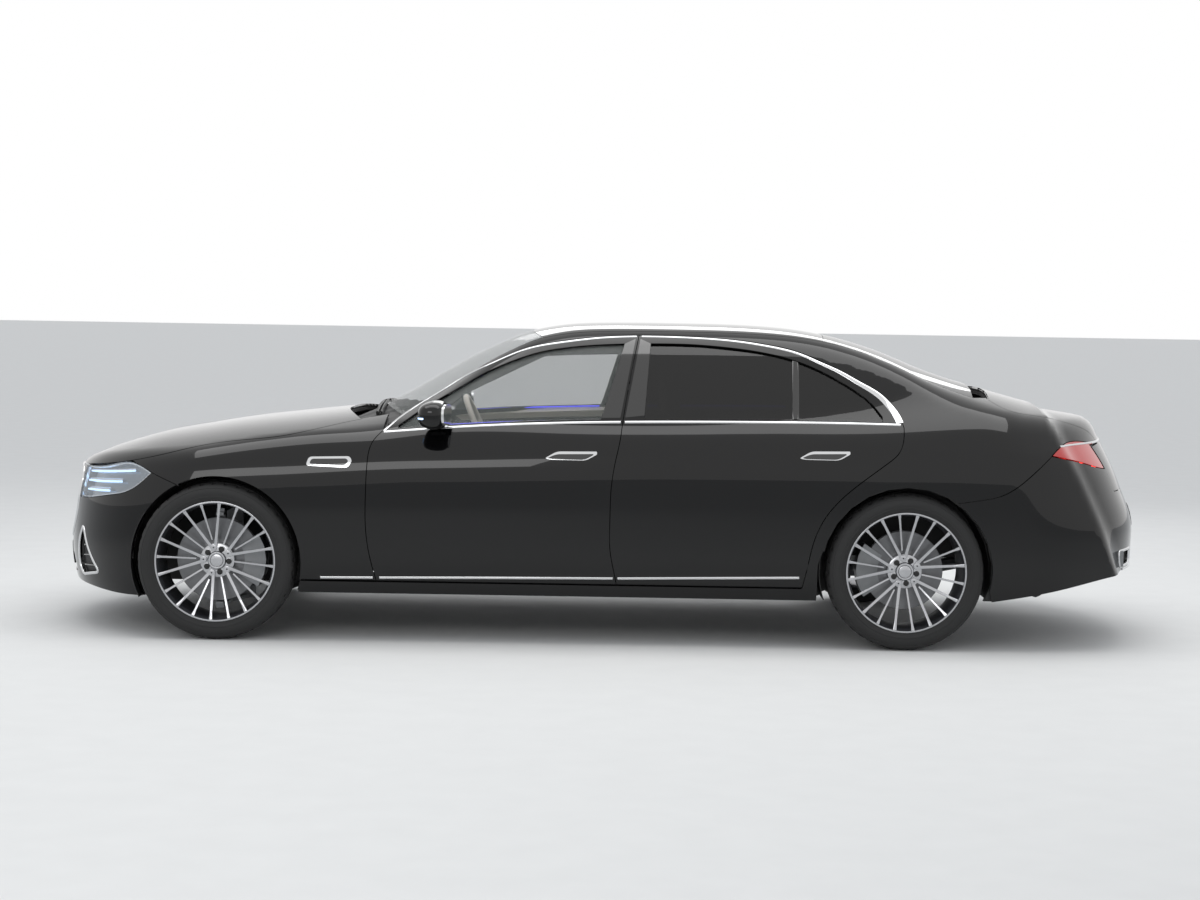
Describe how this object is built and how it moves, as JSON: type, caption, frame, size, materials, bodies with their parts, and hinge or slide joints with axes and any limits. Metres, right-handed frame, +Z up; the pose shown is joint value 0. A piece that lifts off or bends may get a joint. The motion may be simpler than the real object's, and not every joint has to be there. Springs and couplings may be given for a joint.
{
  "type": "luxury saloon car",
  "caption": "Long-wheelbase luxury saloon car with a hollow cabin, opening doors, bonnet and boot lid, steered front wheels and fine-spoked alloy wheels.",
  "frame": {"origin": "on the ground under the middle of the car's bounding box", "axes": "+X towards the tail (the front faces -X), +Y towards the car's right side, +Z up"},
  "size_m": [5.2758, 2.155, 1.499],
  "materials": {
    "black_paint": "polished black clear-coated paint",
    "window_glass": "clear grey tinted safety glass",
    "chrome": "bright polished",
    "silver_alloy": "bright silver lacquer",
    "tyre_rubber": "matt",
    "black_plastic": "fine grain",
    "pale_leather": "soft satin",
    "clear_lens": "clear polished",
    "red_lens": "glossy translucent red",
    "cast_metal": "as cast, grey"
  },
  "bodies": {
    "body": {"body_side_L": "black_paint", "body_side_R": "black_paint", "centre_console": "pale_leather", "dashboard": "black_plastic", "engine_block": "cast_metal", "exhaust": "cast_metal", "fender_L": "black_paint", "fender_R": "black_paint", "floor_pan": "black_plastic", "front_axle": "cast_metal", "front_bumper": "black_paint", "front_structure": "black_plastic", "grille": "chrome", "headlamp_L": "clear_lens", "headlamp_R": "clear_lens", "rear_axle": "cast_metal", "rear_bumper": "black_paint", "rear_structure": "black_plastic", "rear_window": "window_glass", "roof_panel": "window_glass", "seat_front_L": "pale_leather", "seat_front_R": "pale_leather", "seat_rear": "pale_leather", "steering_wheel": "pale_leather", "tail_lamp_L": "red_lens", "tail_lamp_R": "red_lens", "windscreen": "window_glass"},
    "door_front_L_body": {"door_front_L": "black_paint", "glass_front_L": "window_glass", "mirror_L": "black_paint"},
    "door_rear_L_body": {"door_rear_L": "black_paint", "glass_rear_L": "window_glass"},
    "knuckle_L_body": {"knuckle_L": "cast_metal"},
    "wheel_front_L": {"tyre_front_L": "tyre_rubber", "rim_front_L": "silver_alloy"},
    "wheel_rear_L": {"tyre_rear_L": "tyre_rubber", "rim_rear_L": "silver_alloy"},
    "door_front_R_body": {"door_front_R": "black_paint", "glass_front_R": "window_glass", "mirror_R": "black_paint"},
    "door_rear_R_body": {"door_rear_R": "black_paint", "glass_rear_R": "window_glass"},
    "knuckle_R_body": {"knuckle_R": "cast_metal"},
    "wheel_front_R": {"tyre_front_R": "tyre_rubber", "rim_front_R": "silver_alloy"},
    "wheel_rear_R": {"tyre_rear_R": "tyre_rubber", "rim_rear_R": "silver_alloy"},
    "bonnet_body": {"bonnet": "black_paint"},
    "boot_lid_body": {"boot_lid": "black_paint"}
  },
  "joints": [
    {"name": "bonnet_hinge", "type": "hinge", "parent": "body", "child": "bonnet_body", "pos_m": [-1.07622, 0, 1.03707], "axis": [0, 1, 0], "range_deg": [0, 46]},
    {"name": "boot_hinge", "type": "hinge", "parent": "body", "child": "boot_lid_body", "pos_m": [1.81978, 0, 1.16482], "axis": [0, -1, 0], "range_deg": [0, 74]},
    {"name": "door_front_hinge_L", "type": "hinge", "parent": "body", "child": "door_front_L_body", "pos_m": [-1.02713, -0.91913, 0.6], "axis": [0, 0, -1], "range_deg": [0, 66]},
    {"name": "door_rear_hinge_L", "type": "hinge", "parent": "body", "child": "door_rear_L_body", "pos_m": [0.10812, -0.92528, 0.6], "axis": [0, 0, -1], "range_deg": [0, 66]},
    {"name": "steer_L", "type": "hinge", "parent": "body", "child": "knuckle_L_body", "pos_m": [-1.795, -0.8, 0.366], "axis": [0, 0, 1], "range_deg": [-34, 34]},
    {"name": "wheel_front_turn_L", "type": "hinge", "parent": "knuckle_L_body", "child": "wheel_front_L", "pos_m": [-1.795, -0.83, 0.366], "axis": [0, 1, 0], "continuous": true},
    {"name": "wheel_rear_turn_L", "type": "hinge", "parent": "body", "child": "wheel_rear_L", "pos_m": [1.421, -0.83, 0.366], "axis": [0, 1, 0], "continuous": true},
    {"name": "door_front_hinge_R", "type": "hinge", "parent": "body", "child": "door_front_R_body", "pos_m": [-1.02713, 0.91913, 0.6], "axis": [0, 0, 1], "range_deg": [0, 66]},
    {"name": "door_rear_hinge_R", "type": "hinge", "parent": "body", "child": "door_rear_R_body", "pos_m": [0.10812, 0.92528, 0.6], "axis": [0, 0, 1], "range_deg": [0, 66]},
    {"name": "steer_R", "type": "hinge", "parent": "body", "child": "knuckle_R_body", "pos_m": [-1.795, 0.8, 0.366], "axis": [0, 0, 1], "range_deg": [-34, 34]},
    {"name": "wheel_front_turn_R", "type": "hinge", "parent": "knuckle_R_body", "child": "wheel_front_R", "pos_m": [-1.795, 0.83, 0.366], "axis": [0, 1, 0], "continuous": true},
    {"name": "wheel_rear_turn_R", "type": "hinge", "parent": "body", "child": "wheel_rear_R", "pos_m": [1.421, 0.83, 0.366], "axis": [0, 1, 0], "continuous": true}
  ],
  "couplings": [
    {"joint": "steer_R", "follows": "steer_L", "ratio": 1}
  ]
}
